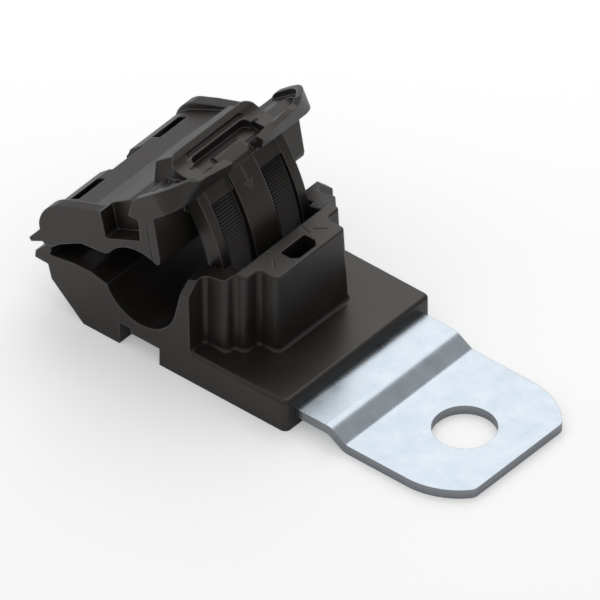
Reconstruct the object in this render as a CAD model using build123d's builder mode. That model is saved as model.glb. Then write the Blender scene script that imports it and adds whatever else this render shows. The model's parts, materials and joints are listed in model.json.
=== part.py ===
"""Ratchet p-clamp on a joggled steel mounting plate, in millimetres.

The origin is the centre of the bolt hole on the plate's underside. +X points from the
clamp to the plate's free end, +Z is up, and the part is symmetrical about y = 0.
"""
import os
from math import asin, atan2, cos, degrees, hypot, radians, sin, sqrt, tan

from build123d import *

os.makedirs("parts", exist_ok=True)

# Mounting plate
PLATE_WIDTH = 25.4
PLATE_THICKNESS = 1.4
PLATE_HOLE = 8.7
PLATE_END_X = 9.15
PLATE_NOSE_RADIUS = 10.6
PLATE_NOSE_CENTRE_X = 0.9
PLATE_CORNER_RADIUS = 1.5
PLATE_FLAT = 9.33
PLATE_JOGGLE = 1.65
PLATE_RAMP_RUN = 2.69
PLATE_BEND_RADIUS = 1.2
PLATE_TAIL = 13.0
PLATE_SLOT_FIT = 0.05

# Base slab and foot
SLAB_REACH = 18.0
SLAB_SIDE = 1.85
SLAB_HEIGHT = 4.9
SLAB_CORNER_RADIUS = 0.9
SLAB_EDGE_RADIUS = 0.6
WEB_HEIGHT = 5.03
UNDERCUT_Z = 2.7
FOOT_ROOF_Z = 3.5
CORE_WALL = 2.0
CORE_RIB = 1.6

# Cable cradle, arm and hinge
CRADLE_RADIUS = 6.07
CRADLE_WALL = 1.12
CABLE_FIT = 0.05
ARM_LENGTH = 15.61
HINGE_DROP = 1.65
HINGE_BEAD_RADIUS = 0.55
HINGE_FIT = 0.05

# Stop tab on the arm, and the notch for it in the jaw
TAB_HALF_WIDTH = 1.85
TAB_FRONT = 0.85
TAB_BACK = 0.38
TAB_HEIGHT = 4.59
TAB_GAP = 0.5
NOTCH_FIT = 0.13
NOTCH_HALF_WIDTH = 3.05

# Ratchet tower
TOWER_SETBACK = 7.5
TOWER_RISE = 5.6
TOWER_DRAFT = 2.0
TOWER_FRONT_HALF = 7.3
LOBE_WALL = 1.05
SHOULDER_WALL = 2.65
POST_RISE = 2.7
POST_THICKNESS = 1.63
POST_SETBACK = 1.45
TOWER_EDGE_RADIUS = 0.3
TOWER_STEP_RADIUS = 0.75
TOWER_FOOT_RADIUS = 0.5
MARK_DEPTH = 0.15
MARK_WIDTH = 0.2

# Release slot and the pawl's chamber
SLOT_WALL = 1.1
SLOT_LENGTH = 2.6
SLOT_HALF = 2.45
SLOT_BEVEL = 0.85
SLOT_CORNER = 0.25
SLOT_FLOOR = 4.1
CHAMBER_WALL = 1.6
CHAMBER_FLOOR = 1.2

# Release pawl
PAWL_FIT = 0.3
PAWL_BACK_GAP = 0.7
PAWL_FRONT_GAP = 0.55
PAWL_THICKNESS = 0.8
PAWL_ROOT = 0.5
PAWL_LENGTH = 7.8
PAWL_HALF_WIDTH = 7.6
PAWL_LUG_HALF = 1.6
LUG_DROP = 1.8
LUG_REACH = 0.9
PAWL_TEETH = 4
PAWL_TOOTH_ANGLE = 4.0
PAWL_TOOTH_GAP = 0.25

# Upper jaw
RIM_WIDTH = 1.75
JAW_RIB = 1.2
JAW_RIB_Y = 4.6
POCKET_DEPTH = 2.51
POCKET_WALL = 1.1
REAR_SLOT_NEAR = 5.4
REAR_SLOT_FAR = 10.9
CREST_RIM = 0.9
CREST_STEP = 0.6
CREST_LOW_RADIUS = 1.3
CREST_HIGH_RADIUS = 6.5
HOOP_HALF = 8.4
HOOP_WALL = 2.4
HOOP_CORNER = 2.0
HOOP_POCKET_CORNER = 1.0
# Ends of the buttress behind the hoop: x, foot, foot half-width, top, top half-width
HOOP_BUTTRESS = (
    (-6.5, 5.6, HOOP_HALF - 0.2, 11.0, HOOP_HALF - HOOP_CORNER),
    (-9.5, 4.6, HOOP_HALF - 0.7, 8.9, HOOP_HALF - 1.1),
)

# Ratchet strap, curved round the hinge line
STRAP_THICKNESS = 2.7
STRAP_HALF_WIDTH = 8.6
STRAP_RAIL_WIDTH = 1.5
STRAP_GROOVE = 0.2
STRAP_TIP_ANGLE = 5.0
TOOTH_BAND_OUTER = 6.75
TOOTH_BAND_INNER = 3.1
TOOTH_BAND_SUNK = 0.15
TOOTH_PITCH = 0.46
TOOTH_DEPTH = 0.4
TOOTH_RISE = 0.75
CENTRE_BAND_HALF = 2.5
CENTRE_BAND_PROUD = 0.3
CHANNEL_FIT = 0.35

# Layout along x, from the slab's free end back to the hinge
SLAB_RIGHT_X = -SLAB_REACH
TOWER_FRONT_X = SLAB_RIGHT_X - TOWER_SETBACK
SLOT_RIGHT_X = TOWER_FRONT_X - SLOT_WALL
SLOT_LEFT_X = SLOT_RIGHT_X - SLOT_LENGTH
CHAMBER_X = SLOT_LEFT_X - CHAMBER_WALL
PAWL_X = CHAMBER_X - PAWL_BACK_GAP
STRAP_FACE_X = PAWL_X - PAWL_THICKNESS - PAWL_FRONT_GAP
CRADLE_X = STRAP_FACE_X - STRAP_THICKNESS - CRADLE_WALL - CRADLE_RADIUS
HINGE_X = CRADLE_X - ARM_LENGTH
LOBE_X = CHAMBER_X + 2.1
SHOULDER_X = CHAMBER_X + 0.3
POST_RIGHT_X = STRAP_FACE_X - POST_SETBACK
POST_LEFT_X = POST_RIGHT_X - POST_THICKNESS
SLAB_LEFT_X = CRADLE_X + 3.29
FOOT_RIGHT_X = CRADLE_X - 3.46
FOOT_LEFT_X = HINGE_X + 6.05
PLATE_TAIL_X = SLAB_RIGHT_X - PLATE_TAIL

# Heights, widths and the strap's own radii
PLATE_UPPER_Z = PLATE_JOGGLE + PLATE_THICKNESS
PLATE_HALF = PLATE_WIDTH / 2
BODY_HALF = PLATE_HALF + SLAB_SIDE
CRADLE_Z = WEB_HEIGHT + CRADLE_RADIUS
HINGE_Z = CRADLE_Z - HINGE_DROP
TOWER_TOP_Z = CRADLE_Z + TOWER_RISE
POST_TOP_Z = CRADLE_Z + POST_RISE
SLOT_FLOOR_Z = SLAB_HEIGHT + SLOT_FLOOR
CHAMBER_FLOOR_Z = SLAB_HEIGHT + CHAMBER_FLOOR
PAWL_ROOT_Z = CHAMBER_FLOOR_Z + PAWL_ROOT
PAWL_TOP_Z = PAWL_ROOT_Z + PAWL_LENGTH
LUG_TOP_Z = PAWL_TOP_Z - LUG_DROP
STRAP_RADIUS = ARM_LENGTH + CRADLE_RADIUS + CRADLE_WALL + STRAP_THICKNESS
STRAP_INNER = STRAP_RADIUS - STRAP_THICKNESS
CENTRE_RADIUS = STRAP_RADIUS + CENTRE_BAND_PROUD
TOOTH_RADIUS = STRAP_RADIUS - TOOTH_BAND_SUNK
TOOTH_ANGLE = degrees(TOOTH_PITCH / STRAP_RADIUS)
CHANNEL_HALF = STRAP_HALF_WIDTH + CHANNEL_FIT
SHOULDER_HALF = CHANNEL_HALF + SHOULDER_WALL
LOBE_HALF = CHANNEL_HALF + LOBE_WALL
CHAMBER_HALF = PAWL_HALF_WIDTH + PAWL_FIT
POCKET_HALF = BODY_HALF - POCKET_DEPTH
HOOP_INNER = HOOP_HALF - HOOP_WALL
CLEAR = 3.0
HINGE_AXIS = Plane(origin=(HINGE_X, 0, HINGE_Z), x_dir=(1, 0, 0), z_dir=(0, -1, 0))


def by_hinge(dx, dz):
    """Point of the XZ plane, measured from the hinge line."""
    return (HINGE_X + dx, HINGE_Z + dz)


def by_cable(dx, dz):
    """Point of the XZ plane, measured from the upper right corner of the cable's square."""
    return (CRADLE_X + CRADLE_RADIUS + dx, CRADLE_Z + CRADLE_RADIUS + dz)


def cable_point(angle):
    """Point of the jaw's round underside, which closes over the cradle."""
    reach = CRADLE_RADIUS + CABLE_FIT
    return (CRADLE_X + reach * cos(radians(angle)), CRADLE_Z + reach * sin(radians(angle)))


def round_hinge(radius, angle):
    """Point of the hinge plane at a radius and an angle round the hinge line."""
    return (radius * cos(radians(angle)), radius * sin(radians(angle)))


def polar(radius, angle):
    """Point of the XZ plane at a radius and an angle round the hinge line."""
    return by_hinge(*round_hinge(radius, angle))


def strap_angle(rise):
    """Angle round the hinge line where the strap's face reaches a height over the cable."""
    return degrees(asin((by_cable(0, rise)[1] - HINGE_Z) / STRAP_RADIUS))


def outline(plane, *points):
    """Face with straight edges on a plane."""
    with BuildSketch(plane) as drawn:
        Polygon(*points, align=None)
    return drawn.sketch


def side_face(*points):
    """Face with straight edges on the XZ plane."""
    return outline(Plane.XZ, *points)


def disc(x, z, radius):
    """Round face on the XZ plane."""
    with BuildSketch(Plane.XZ) as drawn:
        with Locations((x, z)):
            Circle(radius)
    return drawn.sketch


def ring(inner, outer, start, end):
    """Sector of a ring round the hinge line, between two angles."""
    with BuildSketch(HINGE_AXIS) as drawn:
        with BuildLine():
            CenterArc((0, 0), outer, start, end - start)
            CenterArc((0, 0), inner, start, end - start)
            for angle in (start, end):
                Line(round_hinge(inner, angle), round_hinge(outer, angle))
        make_face()
    return drawn.sketch


def corner_plan(height, left, right, half, radius, corner):
    """Rectangle at a height, with its two left or right corners rounded."""
    with BuildSketch(Plane.XY.offset(height)) as drawn:
        with Locations(((left + right) / 2, 0)):
            Rectangle(right - left, 2 * half)
        fillet(drawn.vertices().group_by(Axis.X)[corner], radius)
    return drawn.sketch


def across(face, half, mode=Mode.ADD):
    """Extrude a face drawn on the XZ plane from -half to half along y."""
    extrude(face.moved(Location((0, -half, 0))), amount=2 * half, dir=(0, 1, 0), mode=mode)


def grow(face, near, far, mode=Mode.ADD):
    """Extrude a face drawn on the XZ plane over a stretch of y, on both sides of y = 0."""
    for start, end in ((near, far), (-far, -near)):
        extrude(face.moved(Location((0, start, 0))), amount=end - start, dir=(0, 1, 0), mode=mode)


# Mounting plate: a flat strip with a joggle, a bolt hole and a rounded nose
ramp_angle = degrees(atan2(PLATE_JOGGLE, PLATE_RAMP_RUN))
bend_shift = PLATE_THICKNESS * tan(radians(ramp_angle / 2))
bend_x = -PLATE_FLAT
ramp_top_x = bend_x - PLATE_RAMP_RUN
nose_y = PLATE_HALF - PLATE_NOSE_RADIUS
nose_reach = PLATE_END_X - PLATE_NOSE_CENTRE_X
nose_rise = sqrt(PLATE_NOSE_RADIUS**2 - nose_reach**2)
nose_angle = degrees(atan2(nose_rise, nose_reach))
nose_corner = (PLATE_END_X, nose_y + nose_rise)
plate_side = (PLATE_NOSE_CENTRE_X, PLATE_HALF)
plate_tail = (PLATE_TAIL_X, PLATE_HALF)

with BuildPart() as mounting_plate:
    across(
        side_face(
            (PLATE_END_X, 0),
            (PLATE_END_X, PLATE_THICKNESS),
            (bend_x, PLATE_THICKNESS),
            (ramp_top_x, PLATE_UPPER_Z),
            (PLATE_TAIL_X, PLATE_UPPER_Z),
            (PLATE_TAIL_X, PLATE_JOGGLE),
            (ramp_top_x - bend_shift, PLATE_JOGGLE),
            (bend_x - bend_shift, 0),
        ),
        PLATE_HALF,
    )
    bends = mounting_plate.edges().filter_by(Axis.Y)
    bends = bends.filter_by_position(Axis.X, ramp_top_x - bend_shift - 0.1, bend_x + 0.1)
    upper_bend = bends.filter_by_position(Axis.Z, PLATE_JOGGLE - 0.1, PLATE_UPPER_Z + 0.1)
    lower_bend = bends.filter_by_position(Axis.Z, -0.1, PLATE_THICKNESS + 0.1)
    inside = [upper_bend.sort_by(Axis.Z)[0], lower_bend.sort_by(Axis.Z)[-1]]
    outside = [upper_bend.sort_by(Axis.Z)[-1], lower_bend.sort_by(Axis.Z)[0]]
    fillet(inside, PLATE_BEND_RADIUS)
    fillet(outside, PLATE_BEND_RADIUS + PLATE_THICKNESS)
    with BuildSketch(Plane.XY):
        with BuildLine():
            Line((plate_tail[0], -plate_tail[1]), (plate_side[0], -plate_side[1]))
            CenterArc((PLATE_NOSE_CENTRE_X, -nose_y), PLATE_NOSE_RADIUS, -90, 90 - nose_angle)
            Line((nose_corner[0], -nose_corner[1]), nose_corner)
            CenterArc((PLATE_NOSE_CENTRE_X, nose_y), PLATE_NOSE_RADIUS, nose_angle, 90 - nose_angle)
            Line(plate_side, plate_tail)
            Line(plate_tail, (plate_tail[0], -plate_tail[1]))
        nose = make_face()
        fillet(nose.vertices().group_by(Axis.X)[-1], PLATE_CORNER_RADIUS)
        Circle(PLATE_HOLE / 2, mode=Mode.SUBTRACT)
    extrude(amount=PLATE_UPPER_Z, mode=Mode.INTERSECT)

mounting_plate.part.label = "mounting_plate"
export_step(mounting_plate.part, "parts/mounting_plate.step")


def tower_plan(height):
    """Stepped plan of the ratchet tower, drawn in by its mould draft at a height."""
    inset = (height - SLAB_HEIGHT) * tan(radians(TOWER_DRAFT))
    wide = BODY_HALF + CLEAR
    steps = [
        (POST_RIGHT_X - inset, wide),
        (POST_RIGHT_X - inset, SHOULDER_HALF - inset),
        (SHOULDER_X - inset, SHOULDER_HALF - inset),
        (SHOULDER_X - inset, LOBE_HALF - inset),
        (LOBE_X - inset, LOBE_HALF - inset),
        (LOBE_X - inset, TOWER_FRONT_HALF - inset),
        (TOWER_FRONT_X - inset, TOWER_FRONT_HALF - inset),
    ]
    mirrored = [(x, -y) for x, y in reversed(steps)]
    left = CRADLE_X
    with BuildSketch(Plane.XY.offset(height)) as drawn:
        Polygon((left, wide), *steps, *mirrored, (left, -wide), align=None)
        inner = drawn.vertices().filter_by_position(Axis.Y, -SHOULDER_HALF - 0.1, SHOULDER_HALF + 0.1)
        fillet(inner, TOWER_STEP_RADIUS)
    return drawn.sketch


# Slab that holds the plate's tail, with its free corners and upper edges rounded
with BuildPart() as slab:
    slab_plan = corner_plan(0, SLAB_LEFT_X, SLAB_RIGHT_X, BODY_HALF, SLAB_CORNER_RADIUS, -1)
    extrude(slab_plan, amount=SLAB_HEIGHT)
    rim = slab.faces().sort_by(Axis.Z)[-1].edges()
    fillet(rim.filter_by_position(Axis.X, SLAB_LEFT_X + 0.1, SLAB_RIGHT_X + 0.1), SLAB_EDGE_RADIUS)

# Lower body: slab, foot, arm, cable cradle, hinge bead, stop tab and ratchet tower
with BuildPart() as lower_body:
    loft([tower_plan(SLAB_HEIGHT - 0.5), tower_plan(TOWER_TOP_Z)], ruled=True)
    top_edges = lower_body.faces().sort_by(Axis.Z)[-1].edges()
    fillet(top_edges.filter_by_position(Axis.X, POST_RIGHT_X - 0.5, TOWER_FRONT_X + 0.1), TOWER_EDGE_RADIUS)

    # Post shoulders fall away from the strap's channel outwards
    shoulder_slope = side_face(
        (CRADLE_X, TOWER_TOP_Z - 3.0),
        (SHOULDER_X - 0.8, TOWER_TOP_Z - 0.35),
        (SHOULDER_X - 0.2, TOWER_TOP_Z + 0.1),
        (SHOULDER_X - 0.2, TOWER_TOP_Z + CLEAR),
        (CRADLE_X, TOWER_TOP_Z + CLEAR),
    )
    grow(shoulder_slope, CHAMBER_HALF, BODY_HALF + CLEAR, Mode.SUBTRACT)
    for side in (1, -1):
        post_corner = outline(
            Plane.YZ,
            (side * (BODY_HALF - 1.89), TOWER_TOP_Z - 1.1),
            (side * BODY_HALF, POST_TOP_Z),
            (side * (BODY_HALF + CLEAR), POST_TOP_Z),
            (side * (BODY_HALF + CLEAR), TOWER_TOP_Z + CLEAR),
            (side * (BODY_HALF - 1.89), TOWER_TOP_Z + CLEAR),
        )
        extrude(post_corner, amount=-HINGE_X, dir=(-1, 0, 0), mode=Mode.SUBTRACT)

    # Foot, arm and the block under the cradle
    body_side = side_face(
        (FOOT_RIGHT_X, 0),
        (FOOT_LEFT_X, 0),
        by_hinge(0.65, -4.7),
        by_hinge(0.05, -2.55),
        by_hinge(-2.15, -2.5),
        by_hinge(-2.05, -1.35),
        by_hinge(-0.4, 0.35),
        by_hinge(0, 0),
        by_hinge(0.45, -0.9),
        by_hinge(4.3, -0.14),
        by_hinge(7.18, -0.03),
        by_hinge(10.06, -0.68),
        (CRADLE_X, HINGE_Z - 0.68),
        (POST_LEFT_X + 1, POST_TOP_Z),
        (POST_RIGHT_X - 0.5, POST_TOP_Z),
        (POST_RIGHT_X, SLAB_HEIGHT - 0.5),
        (SLAB_LEFT_X, 0),
        (SLAB_LEFT_X, UNDERCUT_Z),
        (CRADLE_X - 1.46, UNDERCUT_Z),
        (CRADLE_X - 1.66, FOOT_ROOF_Z),
        (FOOT_RIGHT_X, FOOT_ROOF_Z),
    )
    across(body_side, BODY_HALF)
    beyond = side_face(by_hinge(-9, -HINGE_Z), (SLAB_RIGHT_X, 0), (SLAB_RIGHT_X, 30), by_hinge(-9, 20))
    grow(beyond, BODY_HALF, BODY_HALF + 2 * CLEAR, Mode.SUBTRACT)
    lip_drop = 1.1
    lip_reach = sqrt(CRADLE_RADIUS**2 - lip_drop**2)
    cradle_wall = side_face(
        (CRADLE_X, CRADLE_Z),
        (CRADLE_X + lip_reach, CRADLE_Z - lip_drop),
        (POST_LEFT_X, POST_TOP_Z),
        (POST_LEFT_X, TOWER_TOP_Z + CLEAR),
        (HINGE_X, TOWER_TOP_Z + CLEAR),
        by_hinge(0, 2.5),
    )
    across(cradle_wall, BODY_HALF + CLEAR, Mode.SUBTRACT)
    across(disc(CRADLE_X, CRADLE_Z, CRADLE_RADIUS), BODY_HALF + CLEAR, Mode.SUBTRACT)

    # Slab, and a small fillet round the foot of the tower
    add(slab.part)
    foot_edges = lower_body.edges().filter_by_position(Axis.Z, SLAB_HEIGHT - 0.01, SLAB_HEIGHT + 0.01)
    foot_edges = foot_edges.filter_by_position(Axis.X, POST_RIGHT_X - 0.1, TOWER_FRONT_X + 0.1)
    foot_edges = foot_edges.filter_by_position(Axis.Y, 0.7 - BODY_HALF, BODY_HALF - 0.7)
    fillet(foot_edges, TOWER_FOOT_RADIUS)

    # Hinge bead along the arm, and the stop tab in the jaw's notch
    across(disc(HINGE_X, HINGE_Z, HINGE_BEAD_RADIUS), BODY_HALF)
    tab = side_face(
        by_hinge(TAB_FRONT, -1.45),
        by_hinge(TAB_FRONT, TAB_HEIGHT),
        by_hinge(-TAB_BACK, TAB_HEIGHT),
        by_hinge(-TAB_BACK, -0.25),
        by_hinge(-0.2, -1.45),
    )
    across(tab, TAB_HALF_WIDTH)

    # Curved channel for the strap, with the pawl's chamber in front of it
    channel = ring(STRAP_INNER - CHANNEL_FIT, CENTRE_RADIUS + CHANNEL_FIT, -40, 35)
    across(channel, CHANNEL_HALF, Mode.SUBTRACT)
    chamber = side_face(
        (CHAMBER_X - CLEAR, CHAMBER_FLOOR_Z),
        (CHAMBER_X, CHAMBER_FLOOR_Z),
        (CHAMBER_X, TOWER_TOP_Z + 1),
        (CHAMBER_X - CLEAR, TOWER_TOP_Z + 1),
    )
    across(chamber, CHAMBER_HALF, Mode.SUBTRACT)

    # Release slot from above, open to the chamber through a window for the pawl's lug
    with BuildSketch(Plane.XY.offset(SLOT_FLOOR_Z)):
        opening = Polygon(
            (SLOT_LEFT_X, SLOT_HALF),
            (SLOT_RIGHT_X - SLOT_BEVEL, SLOT_HALF),
            (SLOT_RIGHT_X, SLOT_HALF - SLOT_BEVEL),
            (SLOT_RIGHT_X, SLOT_BEVEL - SLOT_HALF),
            (SLOT_RIGHT_X - SLOT_BEVEL, -SLOT_HALF),
            (SLOT_LEFT_X, -SLOT_HALF),
            align=None,
        )
        fillet(opening.vertices(), SLOT_CORNER)
    extrude(amount=TOWER_TOP_Z, mode=Mode.SUBTRACT)
    window = side_face(
        (CHAMBER_X - 0.5, SLOT_FLOOR_Z),
        (SLOT_LEFT_X + 0.5, SLOT_FLOOR_Z),
        (SLOT_LEFT_X + 0.5, LUG_TOP_Z + 1),
        (CHAMBER_X - 0.5, LUG_TOP_Z + 1),
    )
    across(window, PAWL_LUG_HALF + PAWL_FIT, Mode.SUBTRACT)

    # Two engraved strokes on each side of the release slot
    for side in (1, -1):
        for start, end in (((0.2, 3.4), (1.9, 3.1)), ((1.7, 4.0), (3.15, 5.3))):
            run = (end[0] - start[0], end[1] - start[1])
            lean = MARK_WIDTH / 2 / hypot(*run)
            shift = (-run[1] * lean, run[0] * lean)
            stroke = outline(
                Plane.XY.offset(TOWER_TOP_Z - MARK_DEPTH),
                (CHAMBER_X + start[0] + shift[0], side * (start[1] + shift[1])),
                (CHAMBER_X + end[0] + shift[0], side * (end[1] + shift[1])),
                (CHAMBER_X + end[0] - shift[0], side * (end[1] - shift[1])),
                (CHAMBER_X + start[0] - shift[0], side * (start[1] - shift[1])),
            )
            extrude(stroke, amount=1, dir=(0, 0, 1), mode=Mode.SUBTRACT)

    # Slot for the plate's tail, and cored-out pockets in the foot
    plate_slot = side_face(
        (PLATE_TAIL_X - PLATE_SLOT_FIT, PLATE_JOGGLE - PLATE_SLOT_FIT),
        (SLAB_RIGHT_X + 1, PLATE_JOGGLE - PLATE_SLOT_FIT),
        (SLAB_RIGHT_X + 1, PLATE_UPPER_Z + PLATE_SLOT_FIT),
        (PLATE_TAIL_X - PLATE_SLOT_FIT, PLATE_UPPER_Z + PLATE_SLOT_FIT),
    )
    across(plate_slot, PLATE_HALF + PLATE_SLOT_FIT, Mode.SUBTRACT)
    core_left = HINGE_X + 7.95
    core_right = FOOT_RIGHT_X - 1.9
    foot_core = side_face(
        (core_left, -1),
        (core_right, -1),
        (core_right, HINGE_Z - 3.45),
        (core_left, HINGE_Z - 2.45),
    )
    grow(foot_core, CORE_RIB / 2, BODY_HALF - CORE_WALL, Mode.SUBTRACT)

lower_body.part.label = "lower_body"
export_step(lower_body.part, "parts/lower_body.step")

# Pawl tongue: a leaf on a round root, with two rows of teeth and the release lug
with BuildPart() as release_pawl:
    leaf_face = PAWL_X - PAWL_THICKNESS
    leaf = side_face(
        (leaf_face, PAWL_ROOT_Z),
        (PAWL_X, PAWL_ROOT_Z),
        (PAWL_X, PAWL_TOP_Z),
        (leaf_face + PAWL_THICKNESS * 0.3, PAWL_TOP_Z),
        (leaf_face, PAWL_TOP_Z - 1.2),
    )
    across(leaf, PAWL_HALF_WIDTH)
    across(disc(PAWL_X - PAWL_THICKNESS / 2, PAWL_ROOT_Z, PAWL_THICKNESS / 2), PAWL_HALF_WIDTH)
    for step in range(PAWL_TEETH):
        angle = PAWL_TOOTH_ANGLE + step * TOOTH_ANGLE
        tooth = side_face(
            polar(CENTRE_RADIUS + PAWL_TOOTH_GAP, angle),
            (leaf_face + 0.2, polar(STRAP_RADIUS, angle + TOOTH_ANGLE)[1]),
            (leaf_face + 0.2, polar(STRAP_RADIUS, angle - 0.2)[1]),
        )
        grow(tooth, TOOTH_BAND_INNER + 0.1, TOOTH_BAND_OUTER - 0.1)
    lug = side_face(
        (PAWL_X - 0.3, LUG_TOP_Z - 2),
        (SLOT_LEFT_X + LUG_REACH, LUG_TOP_Z - 2),
        (SLOT_LEFT_X + LUG_REACH, LUG_TOP_Z - 1),
        (PAWL_X - 0.3, LUG_TOP_Z),
    )
    across(lug, PAWL_LUG_HALF)

release_pawl.part.label = "release_pawl"
export_step(release_pawl.part, "parts/release_pawl.step")

# Crest over the jaw's end wall: a flared lip round a stepped bowl
crest_low_z = by_cable(0, 7.83)[1]
crest_high_z = by_cable(0, 13.03)[1]
crest_low_x = by_cable(-0.53, 0)[0]
crest_high_x = by_cable(0.37, 0)[0]
crest_left_x = by_cable(-13.3, 0)[0]


def crest_plan(height, right, radius, wall):
    """Plan of the crest at a height, drawn in by a wall."""
    return corner_plan(height, crest_left_x, right - wall, BODY_HALF - wall, radius - wall, -1)


def flared(wall):
    """Crest volume that opens from a sharp corner below to a round one above."""
    low = crest_plan(crest_low_z, crest_low_x, CREST_LOW_RADIUS + wall, wall)
    high = crest_plan(crest_high_z, crest_high_x, CREST_HIGH_RADIUS, wall)
    with BuildPart() as made:
        loft([low, high], ruled=True)
        extrude(low, amount=5, dir=(0, 0, -1))
    return made.part


def above_floor(*floor):
    """Face of the XZ plane over a floor line that runs up to the right."""
    left_end = (-13, floor[0][1])
    return side_face(*[by_cable(*point) for point in (*floor, (0.67, 15), (-13, 15), left_end)])


with BuildPart() as crest_bowl:
    across(above_floor((-7.0, 7.4), (-3.28, 10.28), (-0.5, 12.0)), BODY_HALF)
    add(flared(CREST_RIM), mode=Mode.INTERSECT)

with BuildPart() as crest_well:
    across(above_floor((-6.93, 8.43), (-5.33, 8.93), (0.67, 10.43)), BODY_HALF)
    add(flared(CREST_RIM + CREST_STEP), mode=Mode.INTERSECT)

with BuildPart() as crest:
    with BuildSketch(Plane.XZ.offset(-BODY_HALF)):
        with BuildLine():
            Polyline(
                by_cable(1.67, 12.93),
                by_cable(1.67, 10.73),
                by_cable(-0.43, 9.43),
                by_cable(-1.63, 8.73),
                by_cable(-4.03, 6.63),
                by_cable(-4.03, 5.33),
                by_cable(-8.03, 5.23),
                by_cable(-7.53, 7.23),
            )
            ThreePointArc(by_cable(-7.53, 7.23), by_cable(-7.08, 8.28), by_cable(-6.33, 9.03))
            ThreePointArc(by_cable(-6.33, 9.03), by_cable(-3.28, 11.38), by_cable(-0.63, 12.93))
            Line(by_cable(-0.63, 12.93), by_cable(1.67, 12.93))
        make_face()
    extrude(amount=2 * BODY_HALF)
    add(flared(0), mode=Mode.INTERSECT)
    add(crest_bowl.part, mode=Mode.SUBTRACT)
    add(crest_well.part, mode=Mode.SUBTRACT)
    arch_side = []
    for half, rise in (
        (BODY_HALF - 3.25, 12.94),
        (9.85, 12.38),
        (8.75, 12.43),
        (7.85, 12.23),
        (5.4, 11.58),
        (3.05, 11.03),
    ):
        arch_side.append((half, by_cable(0, rise)[1]))
    arch = outline(Plane.YZ, *arch_side, *[(-half, z) for half, z in reversed(arch_side)])
    extrude(arch.moved(Location((crest_left_x, 0, 0))), amount=20, dir=(1, 0, 0), mode=Mode.SUBTRACT)

# Thumb hoop: a bar across the jaw whose top sweeps down into the crest, on a tapered buttress
with BuildPart() as hoop:
    with BuildSketch(Plane.XZ.offset(-HOOP_HALF)):
        with BuildLine():
            Polyline(
                by_cable(-6.07, 10.97),
                by_cable(-6.95, 11.42),
                by_cable(-6.95, 5.63),
                by_cable(-3.93, 5.83),
                by_cable(-1.23, 8.43),
                by_cable(-1.23, 10.13),
                by_cable(-3.93, 10.08),
            )
            ThreePointArc(by_cable(-3.93, 10.08), by_cable(-5.2, 10.37), by_cable(-6.07, 10.97))
        make_face()
    extrude(amount=2 * HOOP_HALF)
    fillet(hoop.edges().filter_by(Axis.Z).group_by(Axis.X)[0], HOOP_CORNER)
    sections = []
    for dx, low, base, high, top in HOOP_BUTTRESS:
        low_z = by_cable(0, low)[1]
        high_z = by_cable(0, high)[1]
        across_x = Plane.YZ.offset(by_cable(dx, 0)[0])
        sections.append(outline(across_x, (-base, low_z), (base, low_z), (top, high_z), (-top, high_z)))
    loft(sections, ruled=True)


def comb(top_angle, count):
    """Saw teeth round the strap's outer face, counted down from the top."""
    root_radius = TOOTH_RADIUS - TOOTH_DEPTH
    back_radius = root_radius - TOOTH_DEPTH
    end_angle = top_angle - count * TOOTH_ANGLE
    points = []
    for step in range(count):
        angle = top_angle - step * TOOTH_ANGLE
        points.append(round_hinge(root_radius, angle))
        points.append(round_hinge(TOOTH_RADIUS, angle - TOOTH_ANGLE * TOOTH_RISE))
    with BuildSketch(HINGE_AXIS) as drawn:
        with BuildLine():
            Polyline(*points, round_hinge(root_radius, end_angle), round_hinge(back_radius, end_angle))
            CenterArc((0, 0), back_radius, end_angle, top_angle - end_angle)
            Line(round_hinge(back_radius, top_angle), points[0])
        make_face()
    return drawn.sketch


# Upper jaw: side plates, top plate, end wall, thumb hoop, crest and ratchet strap
root_angle = strap_angle(6.17)
tooth_top_angle = strap_angle(6.54)
strap_top_angle = strap_angle(8.67)
centre_top_angle = strap_angle(9.3)
arrow_angle = strap_angle(6.5)
tooth_count = int((tooth_top_angle - STRAP_TIP_ANGLE) / TOOTH_ANGLE)

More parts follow.
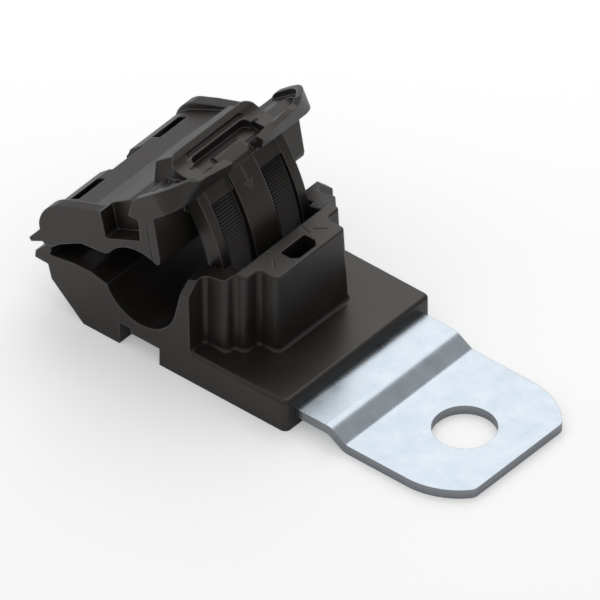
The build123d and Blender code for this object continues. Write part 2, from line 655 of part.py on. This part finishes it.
with BuildPart() as upper_jaw:
    with BuildSketch(Plane.XZ.offset(-BODY_HALF)):
        with BuildLine():
            Polyline(
                by_hinge(0, 0),
                by_hinge(2.15, 1.9),
                by_hinge(5.61, 3.88),
                by_cable(-11.93, -3.31),
                cable_point(148),
            )
            CenterArc((CRADLE_X, CRADLE_Z), CRADLE_RADIUS + CABLE_FIT, 148, 64 - 148)
            Polyline(
                cable_point(64),
                by_cable(-2.83, -0.42),
                by_cable(-2.72, 0.29),
                by_cable(-3.89, 6.77),
                by_cable(-6.83, 6.53),
                by_cable(-10.08, 5.13),
                by_cable(-13.23, 2.98),
                by_hinge(4.45, 9.25),
                by_hinge(1.3, 7.9),
            )
            ThreePointArc(by_hinge(1.3, 7.9), by_hinge(-0.6, 6.15), by_hinge(-1.5, 3.55))
            Polyline(
                by_hinge(-1.5, 3.55),
                by_hinge(-1.36, 2.5),
                by_hinge(-3.14, 0.25),
                by_hinge(-2.81, -0.25),
                by_hinge(-0.94, 0.75),
                by_hinge(-0.4, 0.4),
                by_hinge(0, 0),
            )
        make_face()
    extrude(amount=2 * BODY_HALF)

    # Top plate sits below the side rims, on a hollow inside with two pairs of ribs
    plate_line = [by_hinge(-1.4, 3.65), by_hinge(-0.85, 5.05), by_hinge(0.75, 6.45), by_hinge(6.05, 9.15)]
    above_plate = side_face(
        *plate_line,
        by_cable(-13.23, 2.98),
        by_cable(-13.23, 8),
        by_hinge(-5, 14),
        by_hinge(-5, 3),
    )
    across(above_plate, BODY_HALF - RIM_WIDTH, Mode.SUBTRACT)
    hollow = side_face(
        by_hinge(0.05, 2.75),
        by_hinge(0.05, 4.55),
        by_hinge(1.39, 5.2),
        by_hinge(6.69, 7.9),
        by_cable(-12.43, 1.82),
        by_cable(-9.29, 3.97),
        by_cable(-6.33, 5.13),
        by_cable(-4.98, 5.23),
        by_cable(-3.93, 0.23),
        by_cable(-3.73, -2.17),
        by_cable(-10.33, -5.17),
        by_hinge(2.85, 1.05),
        by_hinge(1.75, 1.95),
    )
    grow(hollow, JAW_RIB / 2, JAW_RIB_Y - JAW_RIB / 2, Mode.SUBTRACT)
    grow(hollow, JAW_RIB_Y + JAW_RIB / 2, POCKET_HALF - POCKET_WALL, Mode.SUBTRACT)
    pocket = side_face(
        by_cable(-12.73, 2.77),
        by_cable(-11.93, -0.47),
        by_cable(-11.63, -0.63),
        by_cable(-6.03, 1.93),
        by_cable(-6.61, 8.0),
        by_cable(-12.73, 8.83),
    )
    grow(pocket, POCKET_HALF, BODY_HALF + 1, Mode.SUBTRACT)
    slit = side_face(
        by_cable(-5.18, 5.73),
        by_cable(-3.78, -1.67),
        by_cable(-3.58, -1.67),
        by_cable(-4.98, 5.78),
    )
    grow(slit, BODY_HALF - 1.2, BODY_HALF + 1, Mode.SUBTRACT)
    rear_slot = side_face(by_hinge(0.8, 2.95), by_hinge(2.2, 2.95), by_hinge(2.2, 9), by_hinge(0.8, 9))
    grow(rear_slot, REAR_SLOT_NEAR, REAR_SLOT_FAR, Mode.SUBTRACT)

    # Crest and hoop
    add(crest.part)
    add(hoop.part)

    # Strap root and the curved strap with its rails, teeth and centre band
    root = side_face(
        by_cable(-6.33, 5.03),
        by_cable(-4.53, 4.33),
        polar(STRAP_INNER, root_angle),
        polar(STRAP_RADIUS - 0.2, root_angle),
        polar(STRAP_RADIUS - 0.2, strap_top_angle),
        by_cable(-4.23, 8.13),
        by_cable(-6.33, 8.13),
    )
    across(root, STRAP_HALF_WIDTH)
    across(ring(STRAP_INNER, STRAP_RADIUS - 0.7, STRAP_TIP_ANGLE, strap_top_angle), STRAP_HALF_WIDTH)
    rail_inner = STRAP_HALF_WIDTH - STRAP_RAIL_WIDTH
    rail = ring(STRAP_RADIUS - 1, STRAP_RADIUS, STRAP_TIP_ANGLE, strap_top_angle)
    grow(rail, rail_inner, STRAP_HALF_WIDTH)
    pad = ring(STRAP_RADIUS - 1, TOOTH_RADIUS, tooth_top_angle, strap_top_angle)
    grow(pad, TOOTH_BAND_INNER - STRAP_GROOVE, rail_inner - STRAP_GROOVE)
    grow(comb(tooth_top_angle, tooth_count), TOOTH_BAND_INNER, TOOTH_BAND_OUTER)
    across(ring(STRAP_RADIUS - 1.3, CENTRE_RADIUS, STRAP_TIP_ANGLE, centre_top_angle), CENTRE_BAND_HALF)

    # Arrow engraved in the centre band, pointing down the strap
    arrow_x, arrow_z = polar(CENTRE_RADIUS - MARK_DEPTH, arrow_angle)
    arrow_plane = Plane(
        origin=(arrow_x, 0, arrow_z),
        x_dir=(sin(radians(arrow_angle)), 0, -cos(radians(arrow_angle))),
        z_dir=(cos(radians(arrow_angle)), 0, sin(radians(arrow_angle))),
    )
    shaft_half = MARK_WIDTH / 2
    for barbs in (
        ((-1.6, -shaft_half), (0.8, -shaft_half), (0.8, shaft_half), (-1.6, shaft_half)),
        ((0.6, -0.85), (1.9, 0), (0.6, 0.85), (0.6, 0.6), (1.5, 0), (0.6, -0.6)),
    ):
        extrude(outline(arrow_plane, *barbs), amount=1, mode=Mode.SUBTRACT)

    # Pocket inside the hoop, the gap between the crest's tips, the notch and the hinge socket
    pocket_right = by_cable(-4.23, 0)[0]
    for wall_dx, rise, half in ((-6.07, 10.35, HOOP_INNER), (-5.38, 9.0, HOOP_INNER - 0.4)):
        wall_x, floor_z = by_cable(wall_dx, rise)
        hole = corner_plan(floor_z, wall_x, pocket_right, half, HOOP_POCKET_CORNER, 0)
        extrude(hole, amount=10, dir=(0, 0, 1), mode=Mode.SUBTRACT)
    well = side_face(
        by_cable(-4.33, 9.0),
        by_cable(-2.73, 9.0),
        by_cable(-1.23, 10.2),
        by_cable(-1.23, 15),
        by_cable(-4.33, 15),
    )
    grow(well, CENTRE_BAND_HALF, HOOP_INNER, Mode.SUBTRACT)
    tip_gap = side_face(
        by_cable(CLEAR, 15),
        by_cable(-4.4, 15),
        by_cable(-4.4, 9.3),
        by_cable(-3.6, 9.5),
        polar(CENTRE_RADIUS + CABLE_FIT, centre_top_angle - 2),
        polar(CENTRE_RADIUS + CABLE_FIT, centre_top_angle - 7),
        polar(CENTRE_RADIUS + CABLE_FIT, centre_top_angle - 12),
        by_cable(CLEAR, 4.8),
    )
    across(tip_gap, NOTCH_HALF_WIDTH, Mode.SUBTRACT)
    notch_front = TAB_FRONT + TAB_GAP
    notch = side_face(
        by_hinge(-5, -4.5),
        by_hinge(notch_front, -4.5),
        by_hinge(notch_front, 10.5),
        by_hinge(-5, 10.5),
    )
    across(notch, NOTCH_HALF_WIDTH, Mode.SUBTRACT)
    tab_sweep = hypot(TAB_FRONT, TAB_HEIGHT) + NOTCH_FIT
    across(disc(HINGE_X, HINGE_Z, tab_sweep), NOTCH_HALF_WIDTH, Mode.SUBTRACT)
    across(disc(HINGE_X, HINGE_Z, HINGE_BEAD_RADIUS + HINGE_FIT), BODY_HALF + 1, Mode.SUBTRACT)

upper_jaw.part.label = "upper_jaw"
export_step(upper_jaw.part, "parts/upper_jaw.step")
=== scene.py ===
"""Ratchet p-clamp: black nylon clamp moulding on a joggled, zinc-plated steel plate."""
import json
import math

import bpy
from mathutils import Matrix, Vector

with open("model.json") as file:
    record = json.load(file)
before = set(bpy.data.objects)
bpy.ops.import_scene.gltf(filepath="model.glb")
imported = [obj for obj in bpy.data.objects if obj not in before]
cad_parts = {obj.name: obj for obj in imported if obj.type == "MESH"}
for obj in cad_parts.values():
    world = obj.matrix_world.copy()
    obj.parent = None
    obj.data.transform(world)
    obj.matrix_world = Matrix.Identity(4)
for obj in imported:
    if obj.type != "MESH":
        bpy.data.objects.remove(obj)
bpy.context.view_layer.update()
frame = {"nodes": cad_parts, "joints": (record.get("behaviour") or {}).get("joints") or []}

# Clamp moulding: body, pawl and jaw are one injection moulding in black, glass-filled
# nylon. Its skin is satin from the spark-eroded mould, and every edge has a small round
# that is a little smoother and carries a painted highlight.
NYLON_COLOUR = (0.0150, 0.0130, 0.0116, 1.0)
NYLON_CLOUDY_COLOUR = (0.0215, 0.0187, 0.0168, 1.0)
# Lighter colour on the rounded edges, a painted highlight
NYLON_EDGE_SHEEN_COLOUR = (0.100, 0.094, 0.088, 1.0)
NYLON_GLOSS_TINT = (1.0, 0.965, 0.93, 1.0)
NYLON_IOR = 1.53
NYLON_ROUGHNESS = 0.38
NYLON_ROUGHNESS_DRIFT = 0.05
NYLON_EDGE_ROUGHNESS = 0.30
NYLON_CLOUD = 160.0
NYLON_CLOUD_DETAIL = 3.0
NYLON_CLOUD_START = 0.35
NYLON_CLOUD_END = 0.75
NYLON_GRAIN = 5200.0
NYLON_GRAIN_DETAIL = 2.0
NYLON_GRAIN_STRENGTH = 0.08
NYLON_GRAIN_DEPTH = 0.00002
NYLON_EDGE_ROUND = 0.00028
NYLON_EDGE_SAMPLES = 8
# Cosine of the turn between the flat face and its rounded edge, where the painted edge
# highlight and the smoother gloss start and end
NYLON_SHEEN_AND_POLISH_START = 0.995
NYLON_SHEEN_AND_POLISH_FULL = 0.90


def black_nylon(name):
    """Satin black nylon with a fine mould grain and softly rounded, smoother edges that
    carry a painted highlight.
    """
    material = bpy.data.materials.new(name)
    material.use_nodes = True
    nodes = material.node_tree.nodes
    link = material.node_tree.links.new
    shader = nodes["Principled BSDF"]
    shader.inputs["IOR"].default_value = NYLON_IOR
    shader.inputs["Specular Tint"].default_value = NYLON_GLOSS_TINT
    place = nodes.new("ShaderNodeTexCoord")

    # Rounded edges, found by how far the rounded normal turns away from the face; they get
    # a painted highlight and a smoother gloss
    edge = nodes.new("ShaderNodeBevel")
    edge.name = "edge_round"
    edge.samples = NYLON_EDGE_SAMPLES
    edge.inputs["Radius"].default_value = NYLON_EDGE_ROUND
    surface = nodes.new("ShaderNodeNewGeometry")
    turn = nodes.new("ShaderNodeVectorMath")
    turn.operation = "DOT_PRODUCT"
    link(edge.outputs["Normal"], turn.inputs[0])
    link(surface.outputs["Normal"], turn.inputs[1])
    edge_sheen_and_polish = nodes.new("ShaderNodeMapRange")
    edge_sheen_and_polish.inputs["From Min"].default_value = NYLON_SHEEN_AND_POLISH_START
    edge_sheen_and_polish.inputs["From Max"].default_value = NYLON_SHEEN_AND_POLISH_FULL
    link(turn.outputs["Value"], edge_sheen_and_polish.inputs["Value"])

    # Colour, a little cloudy where the glass fibres come near the skin
    cloud = nodes.new("ShaderNodeTexNoise")
    cloud.inputs["Scale"].default_value = NYLON_CLOUD
    cloud.inputs["Detail"].default_value = NYLON_CLOUD_DETAIL
    link(place.outputs["Object"], cloud.inputs["Vector"])
    tint = nodes.new("ShaderNodeValToRGB")
    tint.color_ramp.elements[0].position = NYLON_CLOUD_START
    tint.color_ramp.elements[0].color = NYLON_COLOUR
    tint.color_ramp.elements[1].position = NYLON_CLOUD_END
    tint.color_ramp.elements[1].color = NYLON_CLOUDY_COLOUR
    link(cloud.outputs["Fac"], tint.inputs["Fac"])
    # Painted highlight: the rounded edges get a lighter colour
    skin = nodes.new("ShaderNodeMix")
    skin.name = "skin"
    skin.data_type = "RGBA"
    skin.inputs["B"].default_value = NYLON_EDGE_SHEEN_COLOUR
    link(edge_sheen_and_polish.outputs["Result"], skin.inputs["Factor"])
    link(tint.outputs["Color"], skin.inputs["A"])
    link(skin.outputs["Result"], shader.inputs["Base Color"])

    # Satin gloss, smoother on the handled edges
    gloss = nodes.new("ShaderNodeMapRange")
    gloss.inputs["To Min"].default_value = NYLON_ROUGHNESS - NYLON_ROUGHNESS_DRIFT
    gloss.inputs["To Max"].default_value = NYLON_ROUGHNESS + NYLON_ROUGHNESS_DRIFT
    link(cloud.outputs["Fac"], gloss.inputs["Value"])
    polish = nodes.new("ShaderNodeMix")
    polish.name = "polish"
    polish.inputs["B"].default_value = NYLON_EDGE_ROUGHNESS
    link(edge_sheen_and_polish.outputs["Result"], polish.inputs["Factor"])
    link(gloss.outputs["Result"], polish.inputs["A"])
    link(polish.outputs["Result"], shader.inputs["Roughness"])

    # Grain of the spark-eroded mould
    grain = nodes.new("ShaderNodeTexNoise")
    grain.inputs["Scale"].default_value = NYLON_GRAIN
    grain.inputs["Detail"].default_value = NYLON_GRAIN_DETAIL
    link(place.outputs["Object"], grain.inputs["Vector"])
    bump = nodes.new("ShaderNodeBump")
    bump.inputs["Strength"].default_value = NYLON_GRAIN_STRENGTH
    bump.inputs["Distance"].default_value = NYLON_GRAIN_DEPTH
    link(grain.outputs["Fac"], bump.inputs["Height"])
    link(edge.outputs["Normal"], bump.inputs["Normal"])
    link(bump.outputs["Normal"], shader.inputs["Normal"])
    return material


def dress(node, material):
    """Give a CAD node its material."""
    piece = frame["nodes"][node]
    piece.data.materials.clear()
    piece.data.materials.append(material)


nylon = black_nylon("black_nylon")
dress("lower_body", nylon)
dress("release_pawl", nylon)

# Upper jaw: the same nylon. Its ratchet teeth are crisp from the mould, so the edge round
# shrinks over the two toothed rows of the strap, which curve round the hinge. The gaps
# between the teeth's crests get a painted shade and a duller gloss.
TOOTH_ROUND = 0.00004
TOOTH_ROWS_INNER = 0.0031
TOOTH_ROWS_OUTER = 0.00675
TOOTH_ROOT_RADIUS = 0.02495
TOOTH_CREST_RADIUS = 0.02535
# Painted shade in the tooth gaps
TOOTH_GAP_SHADE_COLOUR = (0.0035, 0.0031, 0.0028, 1.0)
TOOTH_GAP_ROUGHNESS = 0.85
jaw_hinge = next(joint for joint in frame["joints"] if joint["name"] == "jaw_hinge")
hinge_x, _, hinge_z = jaw_hinge["pos_m"]


def toothed_nylon(name):
    """Black nylon whose edge round, colour and gloss change over the strap's teeth; the
    colour change is a painted shade in the tooth gaps.
    """
    material = black_nylon(name)
    nodes = material.node_tree.nodes
    link = material.node_tree.links.new
    shader = nodes["Principled BSDF"]

    # The two rows, left and right of the middle and outside the teeth's root circle
    place = nodes.new("ShaderNodeTexCoord")
    split = nodes.new("ShaderNodeSeparateXYZ")
    link(place.outputs["Object"], split.inputs["Vector"])
    from_middle = nodes.new("ShaderNodeMath")
    from_middle.operation = "ABSOLUTE"
    link(split.outputs["Y"], from_middle.inputs[0])
    in_rows = nodes.new("ShaderNodeMath")
    in_rows.operation = "COMPARE"
    in_rows.inputs[1].default_value = (TOOTH_ROWS_OUTER + TOOTH_ROWS_INNER) / 2
    in_rows.inputs[2].default_value = (TOOTH_ROWS_OUTER - TOOTH_ROWS_INNER) / 2
    link(from_middle.outputs["Value"], in_rows.inputs[0])
    side_place = nodes.new("ShaderNodeCombineXYZ")
    link(split.outputs["X"], side_place.inputs["X"])
    link(split.outputs["Z"], side_place.inputs["Z"])
    from_hinge = nodes.new("ShaderNodeVectorMath")
    from_hinge.operation = "DISTANCE"
    from_hinge.inputs[1].default_value = (hinge_x, 0.0, hinge_z)
    link(side_place.outputs["Vector"], from_hinge.inputs[0])
    past_root = nodes.new("ShaderNodeMath")
    past_root.operation = "GREATER_THAN"
    past_root.inputs[1].default_value = TOOTH_ROOT_RADIUS - TOOTH_ROUND
    link(from_hinge.outputs["Value"], past_root.inputs[0])
    on_teeth = nodes.new("ShaderNodeMath")
    on_teeth.operation = "MULTIPLY"
    link(in_rows.outputs["Value"], on_teeth.inputs[0])
    link(past_root.outputs["Value"], on_teeth.inputs[1])

    # Crisp edges there
    edge_size = nodes.new("ShaderNodeMapRange")
    edge_size.inputs["To Min"].default_value = NYLON_EDGE_ROUND
    edge_size.inputs["To Max"].default_value = TOOTH_ROUND
    link(on_teeth.outputs["Value"], edge_size.inputs["Value"])
    link(edge_size.outputs["Result"], nodes["edge_round"].inputs["Radius"])

    # Painted shade in the gaps between the crests, which are also dull
    depth = nodes.new("ShaderNodeMapRange")
    depth.inputs["From Min"].default_value = TOOTH_CREST_RADIUS
    depth.inputs["From Max"].default_value = TOOTH_ROOT_RADIUS
    link(from_hinge.outputs["Value"], depth.inputs["Value"])
    in_gap = nodes.new("ShaderNodeMath")
    in_gap.operation = "MULTIPLY"
    link(depth.outputs["Result"], in_gap.inputs[0])
    link(on_teeth.outputs["Value"], in_gap.inputs[1])
    gap_shade = nodes.new("ShaderNodeMix")
    gap_shade.data_type = "RGBA"
    gap_shade.inputs["B"].default_value = TOOTH_GAP_SHADE_COLOUR
    link(in_gap.outputs["Value"], gap_shade.inputs["Factor"])
    link(nodes["skin"].outputs["Result"], gap_shade.inputs["A"])
    link(gap_shade.outputs["Result"], shader.inputs["Base Color"])
    gap_gloss = nodes.new("ShaderNodeMix")
    gap_gloss.inputs["B"].default_value = TOOTH_GAP_ROUGHNESS
    link(in_gap.outputs["Value"], gap_gloss.inputs["Factor"])
    link(nodes["polish"].outputs["Result"], gap_gloss.inputs["A"])
    link(gap_gloss.outputs["Result"], shader.inputs["Roughness"])
    return material


dress("upper_jaw", toothed_nylon("black_nylon_jaw"))

# Mounting plate: a strip sheared and pressed from steel sheet, then zinc plated. The
# plating is pale and bluish with a faint cloudiness, and the upright faces, such as the
# sheared edges and the pressed bends, carry a painted shade.
ZINC_COLOUR = (0.41, 0.465, 0.515, 1.0)
ZINC_CLOUDY_COLOUR = (0.49, 0.54, 0.59, 1.0)
# Painted shade on the upright faces
ZINC_UPRIGHT_SHADE_COLOUR = (0.30, 0.32, 0.345, 1.0)
ZINC_ROUGHNESS = 0.27
ZINC_ROUGHNESS_DRIFT = 0.06
ZINC_CLOUD = 420.0
ZINC_CLOUD_DETAIL = 6.0
ZINC_CLOUD_START = 0.3
ZINC_CLOUD_END = 0.7
ZINC_SPANGLE = 2600.0
ZINC_SPANGLE_DETAIL = 3.0
ZINC_SPANGLE_STRENGTH = 0.12
ZINC_SPANGLE_DEPTH = 0.00003
ZINC_EDGE_ROUND = 0.00008
ZINC_EDGE_SAMPLES = 6
# Upward part of a face's normal, where the painted shade on upright faces gives way to the
# plating colour
ZINC_SHADED_BELOW = 0.3
ZINC_UNSHADED_ABOVE = 0.6


def zinc_plate(name):
    """Zinc plating with a faint cloudiness, fine speckle and a painted shade on upright
    faces.
    """
    material = bpy.data.materials.new(name)
    material.use_nodes = True
    nodes = material.node_tree.nodes
    link = material.node_tree.links.new
    shader = nodes["Principled BSDF"]
    shader.inputs["Metallic"].default_value = 1.0
    place = nodes.new("ShaderNodeTexCoord")

    # Cloudy plating
    cloud = nodes.new("ShaderNodeTexNoise")
    cloud.inputs["Scale"].default_value = ZINC_CLOUD
    cloud.inputs["Detail"].default_value = ZINC_CLOUD_DETAIL
    link(place.outputs["Object"], cloud.inputs["Vector"])
    tint = nodes.new("ShaderNodeValToRGB")
    tint.color_ramp.elements[0].position = ZINC_CLOUD_START
    tint.color_ramp.elements[0].color = ZINC_COLOUR
    tint.color_ramp.elements[1].position = ZINC_CLOUD_END
    tint.color_ramp.elements[1].color = ZINC_CLOUDY_COLOUR
    link(cloud.outputs["Fac"], tint.inputs["Fac"])

    # Painted shade on upright faces: the sheared edges, the hole's wall and the steep
    # bends
    facing = nodes.new("ShaderNodeSeparateXYZ")
    link(place.outputs["Normal"], facing.inputs["Vector"])
    level = nodes.new("ShaderNodeMath")
    level.operation = "ABSOLUTE"
    link(facing.outputs["Z"], level.inputs[0])
    unshaded = nodes.new("ShaderNodeMapRange")
    unshaded.inputs["From Min"].default_value = ZINC_SHADED_BELOW
    unshaded.inputs["From Max"].default_value = ZINC_UNSHADED_ABOVE
    link(level.outputs["Value"], unshaded.inputs["Value"])
    steel = nodes.new("ShaderNodeMix")
    steel.data_type = "RGBA"
    steel.inputs["A"].default_value = ZINC_UPRIGHT_SHADE_COLOUR
    link(unshaded.outputs["Result"], steel.inputs["Factor"])
    link(tint.outputs["Color"], steel.inputs["B"])
    link(steel.outputs["Result"], shader.inputs["Base Color"])

    # Gloss that drifts with the clouds
    gloss = nodes.new("ShaderNodeMapRange")
    gloss.inputs["To Min"].default_value = ZINC_ROUGHNESS - ZINC_ROUGHNESS_DRIFT
    gloss.inputs["To Max"].default_value = ZINC_ROUGHNESS + ZINC_ROUGHNESS_DRIFT
    link(cloud.outputs["Fac"], gloss.inputs["Value"])
    link(gloss.outputs["Result"], shader.inputs["Roughness"])

    # Fine speckle, and a slightly broken edge
    spangle = nodes.new("ShaderNodeTexNoise")
    spangle.inputs["Scale"].default_value = ZINC_SPANGLE
    spangle.inputs["Detail"].default_value = ZINC_SPANGLE_DETAIL
    link(place.outputs["Object"], spangle.inputs["Vector"])
    edge = nodes.new("ShaderNodeBevel")
    edge.samples = ZINC_EDGE_SAMPLES
    edge.inputs["Radius"].default_value = ZINC_EDGE_ROUND
    bump = nodes.new("ShaderNodeBump")
    bump.inputs["Strength"].default_value = ZINC_SPANGLE_STRENGTH
    bump.inputs["Distance"].default_value = ZINC_SPANGLE_DEPTH
    link(spangle.outputs["Fac"], bump.inputs["Height"])
    link(edge.outputs["Normal"], bump.inputs["Normal"])
    link(bump.outputs["Normal"], shader.inputs["Normal"])
    return material


dress("mounting_plate", zinc_plate("zinc_steel"))

# Floor: plain white studio paper, laid level and wide under the part. It takes only the
# part's soft shadow, and shows a little lighter to the camera and in the steel.
FLOOR_SIZE = 6.0
FLOOR_MIDDLE = (-0.02, 0.0, 0.0)
FLOOR_COLOUR = (0.97, 0.97, 0.97, 1.0)
FLOOR_SEEN = 0.30
FLOOR_MIRRORED = 0.08
bpy.ops.mesh.primitive_plane_add(size=FLOOR_SIZE, location=FLOOR_MIDDLE)
floor = bpy.context.object
floor.name = "floor"
paper = bpy.data.materials.new("white_floor")
paper.use_nodes = True
paper_nodes = paper.node_tree.nodes
paper_link = paper.node_tree.links.new
paper_shader = paper_nodes["Principled BSDF"]
paper_shader.inputs["Base Color"].default_value = FLOOR_COLOUR
paper_shader.inputs["Roughness"].default_value = 1.0
paper_shader.inputs["Specular IOR Level"].default_value = 0.0
paper_shader.inputs["Emission Color"].default_value = (1.0, 1.0, 1.0, 1.0)
seen = paper_nodes.new("ShaderNodeLightPath")
mirrored = paper_nodes.new("ShaderNodeMath")
mirrored.operation = "MULTIPLY"
mirrored.inputs[1].default_value = FLOOR_MIRRORED
lift = paper_nodes.new("ShaderNodeMath")
lift.operation = "MULTIPLY_ADD"
lift.inputs[1].default_value = FLOOR_SEEN
paper_link(seen.outputs["Is Glossy Ray"], mirrored.inputs[0])
paper_link(seen.outputs["Is Camera Ray"], lift.inputs[0])
paper_link(mirrored.outputs["Value"], lift.inputs[2])
paper_link(lift.outputs["Value"], paper_shader.inputs["Emission Strength"])
floor.data.materials.append(paper)

# Studio light: a dim room that is lighter overhead and white under the floor, one wide
# lamp behind the part's left shoulder, and a smaller fill over the camera's side.
PART_MIDDLE = Vector((-0.025, 0.0, 0.01))
ROOM_LOW_LIGHT = 0.20
ROOM_HIGH_LIGHT = 0.62
ROOM_UNDER_FLOOR = 0.93
LAMP_DISTANCE = 0.45
BACK_LAMP_DIRECTION = (-0.40, 0.60, 0.69)
BACK_LAMP_SIZE = 0.42
BACK_LAMP_POWER = 0.68
FILL_LAMP_DIRECTION = (-0.50, -0.60, 0.65)
FILL_LAMP_SIZE = 0.25
FILL_LAMP_POWER = 0.10


def soft_lamp(name, direction, size, power):
    """Square soft lamp that faces the part."""
    data = bpy.data.lights.new(name, "AREA")
    data.shape = "SQUARE"
    data.size = size
    data.energy = power
    lamp = bpy.data.objects.new(name, data)
    bpy.context.scene.collection.objects.link(lamp)
    lamp.location = PART_MIDDLE + LAMP_DISTANCE * Vector(direction).normalized()
    lamp.rotation_mode = "QUATERNION"
    lamp.rotation_quaternion = (PART_MIDDLE - lamp.location).to_track_quat("-Z", "Y")


world = bpy.data.worlds.new("white_room")
world.use_nodes = True
room_nodes = world.node_tree.nodes
room_link = world.node_tree.links.new
room = room_nodes["Background"]
room.inputs["Color"].default_value = (1.0, 1.0, 1.0, 1.0)
rays = room_nodes.new("ShaderNodeTexCoord")
height = room_nodes.new("ShaderNodeSeparateXYZ")
fade = room_nodes.new("ShaderNodeMapRange")
fade.inputs["To Min"].default_value = ROOM_LOW_LIGHT
fade.inputs["To Max"].default_value = ROOM_HIGH_LIGHT
under = room_nodes.new("ShaderNodeMath")
under.operation = "LESS_THAN"
under.inputs[1].default_value = 0.0
all_round = room_nodes.new("ShaderNodeMix")
all_round.inputs["B"].default_value = ROOM_UNDER_FLOOR
room_link(rays.outputs["Generated"], height.inputs["Vector"])
room_link(height.outputs["Z"], fade.inputs["Value"])
room_link(height.outputs["Z"], under.inputs[0])
room_link(under.outputs["Value"], all_round.inputs["Factor"])
room_link(fade.outputs["Result"], all_round.inputs["A"])
room_link(all_round.outputs["Result"], room.inputs["Strength"])
bpy.context.scene.world = world
soft_lamp("back_lamp", BACK_LAMP_DIRECTION, BACK_LAMP_SIZE, BACK_LAMP_POWER)
soft_lamp("fill_lamp", FILL_LAMP_DIRECTION, FILL_LAMP_SIZE, FILL_LAMP_POWER)

# Camera: a very long lens, taken as one without perspective, that looks down from the
# front right. Its aim is given along its own right and up directions.
VIEW_AZIMUTH = math.radians(40.122)
VIEW_ELEVATION = math.radians(39.845)
VIEW_WIDTH = 0.07771
VIEW_RIGHT = -0.021323
VIEW_UP = 0.017553
VIEW_DISTANCE = 0.5
VIEW_FAR_LIMIT = 5.0
camera_right = Vector((math.cos(VIEW_AZIMUTH), math.sin(VIEW_AZIMUTH), 0.0))
camera_back = Vector(
    (
        math.sin(VIEW_AZIMUTH) * math.cos(VIEW_ELEVATION),
        -math.cos(VIEW_AZIMUTH) * math.cos(VIEW_ELEVATION),
        math.sin(VIEW_ELEVATION),
    )
)
camera_up = camera_back.cross(camera_right)
camera_aim = VIEW_RIGHT * camera_right + VIEW_UP * camera_up
camera_data = bpy.data.cameras.new("camera")
camera_data.type = "ORTHO"
camera_data.ortho_scale = VIEW_WIDTH
camera_data.clip_end = VIEW_FAR_LIMIT
camera = bpy.data.objects.new("camera", camera_data)
bpy.context.scene.collection.objects.link(camera)
camera.location = camera_aim + VIEW_DISTANCE * camera_back
camera.rotation_mode = "QUATERNION"
camera.rotation_quaternion = (-camera_back).to_track_quat("-Z", "Y")
bpy.context.scene.camera = camera
bpy.context.scene.view_settings.view_transform = "Standard"
